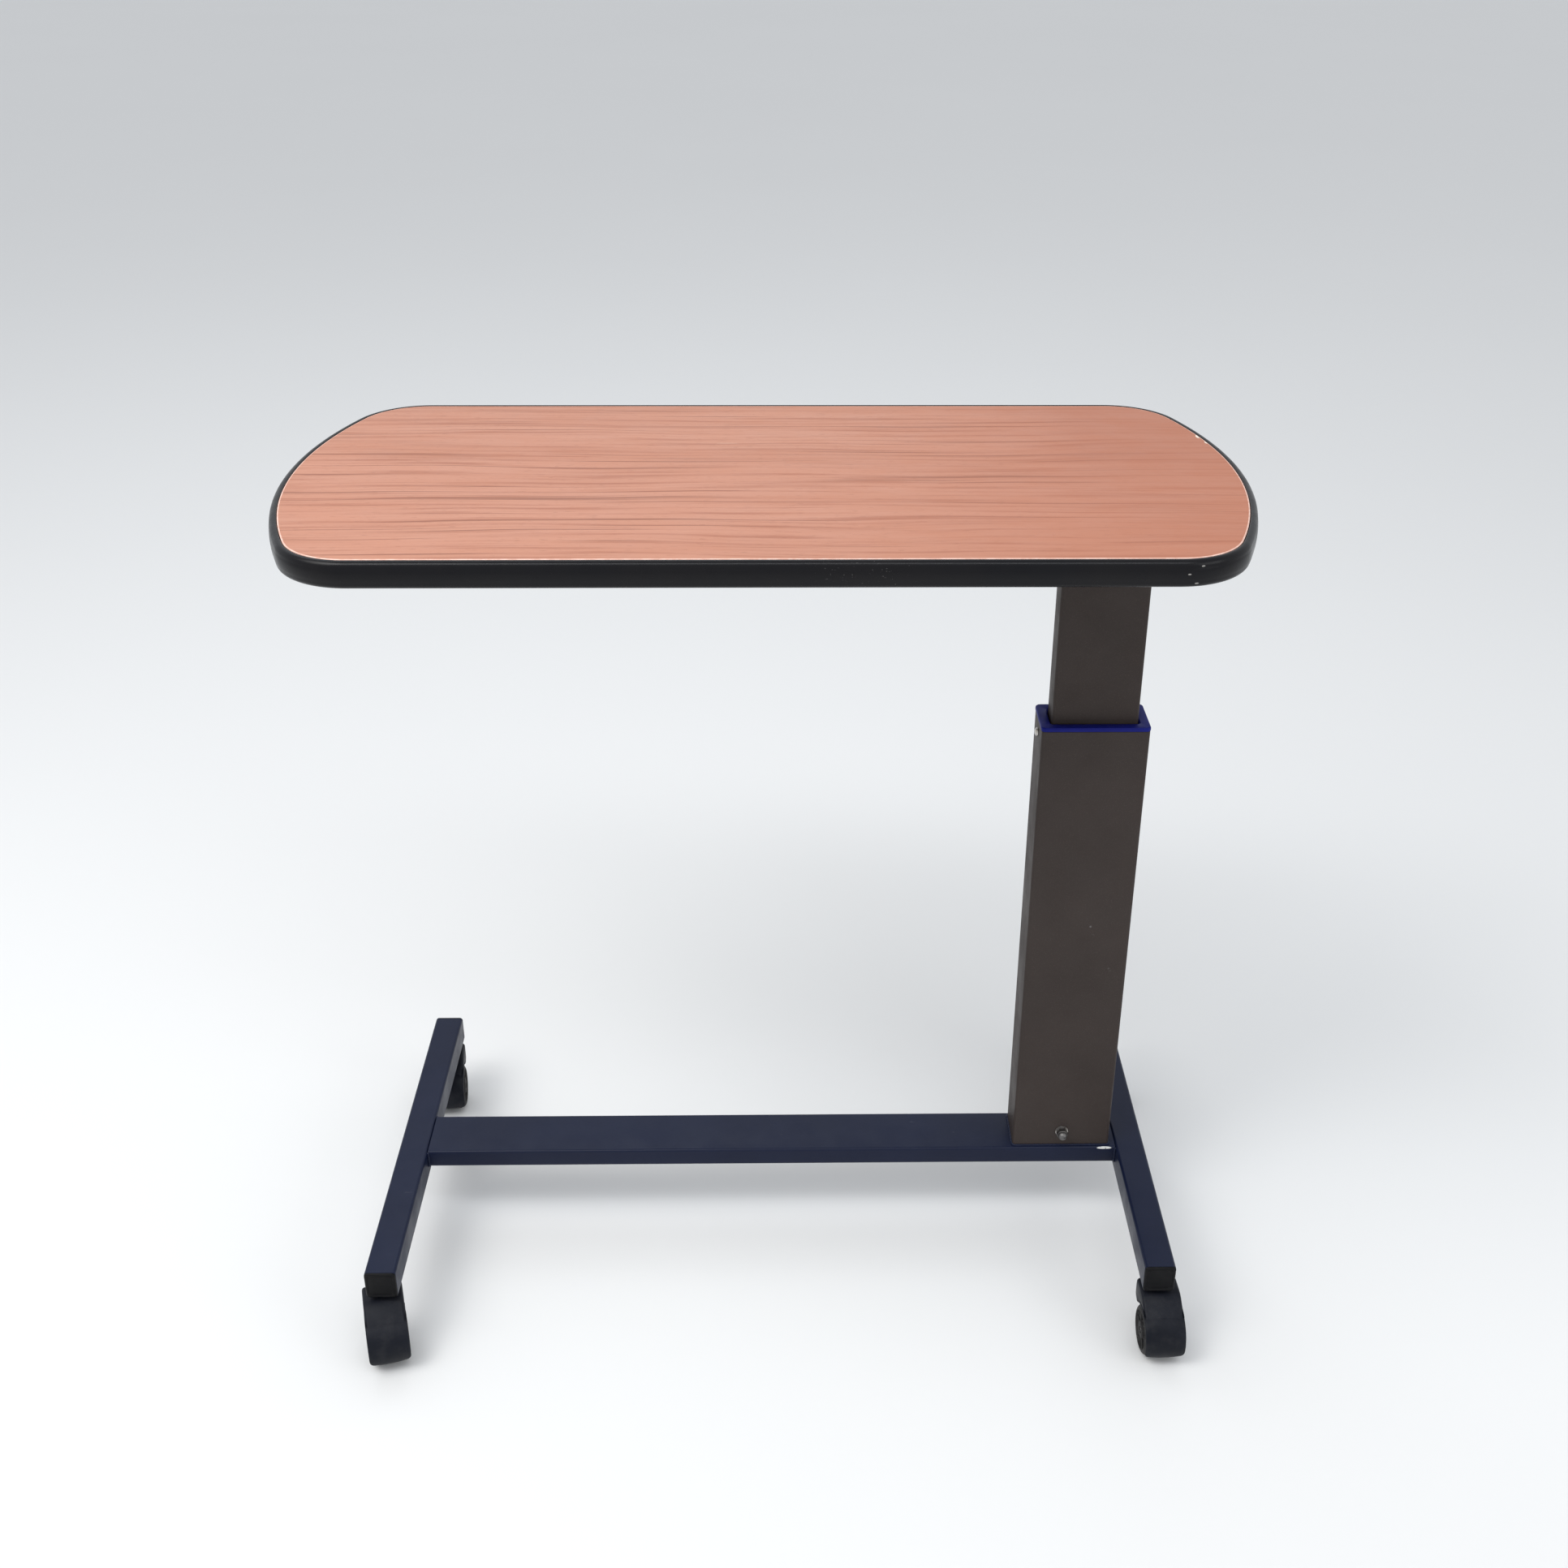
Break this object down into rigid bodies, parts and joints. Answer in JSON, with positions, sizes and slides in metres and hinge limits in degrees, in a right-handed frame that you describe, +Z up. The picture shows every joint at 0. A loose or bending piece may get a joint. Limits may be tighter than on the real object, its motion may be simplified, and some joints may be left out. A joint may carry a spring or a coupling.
{
  "type": "overbed table",
  "caption": "Wheeled overbed table: laminated top with rounded ends and black edging on an offset telescopic column over an H-shaped tube base.",
  "frame": {"origin": "on the floor, under the middle of the table's overall outline", "axes": "+X along the top towards the column side, -Y towards the user, +Z up"},
  "size_m": [0.83, 0.4468, 0.82],
  "materials": {
    "top_laminate": "high-pressure laminate with a pinkish-brown wood grain along the length, satin",
    "bottom_laminate": "plain balancing laminate, matt",
    "board": "particleboard, raw",
    "edging": "extruded black edging, semi-gloss",
    "base_paint": "dark blue-black powder coat, fine texture",
    "column_paint": "warm black powder coat, fine texture, matt",
    "blue_plastic": "moulded deep blue plastic, satin",
    "black_plastic": "moulded black plastic",
    "caster_plastic": "moulded black nylon, satin",
    "wheel_plastic": "moulded black nylon, worn tread",
    "zinc_steel": "zinc plated",
    "rod_steel": "hard chromed rod"
  },
  "bodies": {
    "base": {"left_foot_tube": "base_paint", "right_foot_tube": "base_paint", "crossbar": "base_paint", "front_left_end_cap": "black_plastic", "front_right_end_cap": "black_plastic", "rear_left_end_cap": "black_plastic", "rear_right_end_cap": "black_plastic", "outer_column": "column_paint", "guide_sleeve": "blue_plastic", "left_sleeve_screw": "zinc_steel", "right_sleeve_screw": "zinc_steel", "column_pivot_bolt": "zinc_steel", "pivot_bolt_washer": "zinc_steel", "pivot_domed_nut": "zinc_steel", "gas_spring_cylinder": "black_plastic", "front_left_caster_stem": "zinc_steel", "front_left_stem_nut": "zinc_steel", "front_right_caster_stem": "zinc_steel", "front_right_stem_nut": "zinc_steel", "rear_left_caster_stem": "zinc_steel", "rear_left_stem_nut": "zinc_steel", "rear_right_caster_stem": "zinc_steel", "rear_right_stem_nut": "zinc_steel"},
    "top": {"top_laminate": "top_laminate", "bottom_laminate": "bottom_laminate", "tabletop_board": "board", "edge_bumper": "edging", "front_support_rail": "base_paint", "rear_support_rail": "base_paint", "front_left_wood_screw": "zinc_steel", "front_right_wood_screw": "zinc_steel", "rear_left_wood_screw": "zinc_steel", "rear_right_wood_screw": "zinc_steel", "head_plate": "base_paint", "inner_column": "column_paint", "lower_glide": "black_plastic", "gas_spring_rod": "rod_steel", "lever_bracket": "zinc_steel", "lever_pivot_pin": "zinc_steel"},
    "lever": {"release_lever": "zinc_steel", "lever_grip": "black_plastic"},
    "release_pin": {"release_pin": "zinc_steel"},
    "front_left_swivel": {"front_left_caster_hood": "caster_plastic", "front_left_caster_axle": "zinc_steel"},
    "front_left_left_wheel": {"front_left_left_wheel": "wheel_plastic"},
    "front_left_right_wheel": {"front_left_right_wheel": "wheel_plastic"},
    "front_right_swivel": {"front_right_caster_hood": "caster_plastic", "front_right_caster_axle": "zinc_steel"},
    "front_right_left_wheel": {"front_right_left_wheel": "wheel_plastic"},
    "front_right_right_wheel": {"front_right_right_wheel": "wheel_plastic"},
    "rear_left_swivel": {"rear_left_caster_hood": "caster_plastic", "rear_left_caster_axle": "zinc_steel"},
    "rear_left_left_wheel": {"rear_left_left_wheel": "wheel_plastic"},
    "rear_left_right_wheel": {"rear_left_right_wheel": "wheel_plastic"},
    "rear_right_swivel": {"rear_right_caster_hood": "caster_plastic", "rear_right_caster_axle": "zinc_steel"},
    "rear_right_left_wheel": {"rear_right_left_wheel": "wheel_plastic"},
    "rear_right_right_wheel": {"rear_right_right_wheel": "wheel_plastic"}
  },
  "joints": [
    {"name": "column_slide", "type": "slide", "parent": "base", "child": "top", "axis": [0, 0, 1], "range_m": [-0.15, 0.17]},
    {"name": "lever_hinge", "type": "hinge", "parent": "top", "child": "lever", "pos_m": [0.322, 0.018, 0.7885], "axis": [0, -1, 0], "range_deg": [0, 5.7], "stiffness_Nm_per_rad": 2, "springref_deg": -4.58},
    {"name": "release_pin_slide", "type": "slide", "parent": "top", "child": "release_pin", "axis": [0, 0, -1], "range_m": [0, 0.0024]},
    {"name": "front_left_swivel_joint", "type": "hinge", "parent": "base", "child": "front_left_swivel", "pos_m": [-0.376, -0.173, 0], "axis": [0, 0, 1], "continuous": true},
    {"name": "front_left_left_wheel_spin", "type": "hinge", "parent": "front_left_swivel", "child": "front_left_left_wheel", "pos_m": [-0.37082, -0.19232, 0.025], "axis": [0.9659, 0.2588, 0], "continuous": true},
    {"name": "front_left_right_wheel_spin", "type": "hinge", "parent": "front_left_swivel", "child": "front_left_right_wheel", "pos_m": [-0.37082, -0.19232, 0.025], "axis": [0.9659, 0.2588, 0], "continuous": true},
    {"name": "front_right_swivel_joint", "type": "hinge", "parent": "base", "child": "front_right_swivel", "pos_m": [0.376, -0.173, 0], "axis": [0, 0, 1], "continuous": true},
    {"name": "front_right_left_wheel_spin", "type": "hinge", "parent": "front_right_swivel", "child": "front_right_left_wheel", "pos_m": [0.3767, -0.19299, 0.025], "axis": [0.9994, 0.0349, 0], "continuous": true},
    {"name": "front_right_right_wheel_spin", "type": "hinge", "parent": "front_right_swivel", "child": "front_right_right_wheel", "pos_m": [0.3767, -0.19299, 0.025], "axis": [0.9994, 0.0349, 0], "continuous": true},
    {"name": "rear_left_swivel_joint", "type": "hinge", "parent": "base", "child": "rear_left_swivel", "pos_m": [-0.376, 0.209, 0], "axis": [0, 0, 1], "continuous": true},
    {"name": "rear_left_left_wheel_spin", "type": "hinge", "parent": "rear_left_swivel", "child": "rear_left_left_wheel", "pos_m": [-0.37426, 0.18908, 0.025], "axis": [0.9962, 0.0872, 0], "continuous": true},
    {"name": "rear_left_right_wheel_spin", "type": "hinge", "parent": "rear_left_swivel", "child": "rear_left_right_wheel", "pos_m": [-0.37426, 0.18908, 0.025], "axis": [0.9962, 0.0872, 0], "continuous": true},
    {"name": "rear_right_swivel_joint", "type": "hinge", "parent": "base", "child": "rear_right_swivel", "pos_m": [0.376, 0.209, 0], "axis": [0, 0, 1], "continuous": true},
    {"name": "rear_right_left_wheel_spin", "type": "hinge", "parent": "rear_right_swivel", "child": "rear_right_left_wheel", "pos_m": [0.376, 0.189, 0.025], "axis": [1, 0, 0], "continuous": true},
    {"name": "rear_right_right_wheel_spin", "type": "hinge", "parent": "rear_right_swivel", "child": "rear_right_right_wheel", "pos_m": [0.376, 0.189, 0.025], "axis": [1, 0, 0], "continuous": true}
  ],
  "couplings": [
    {"joint": "release_pin_slide", "follows": "lever_hinge", "m_per_rad": 0.022}
  ]
}
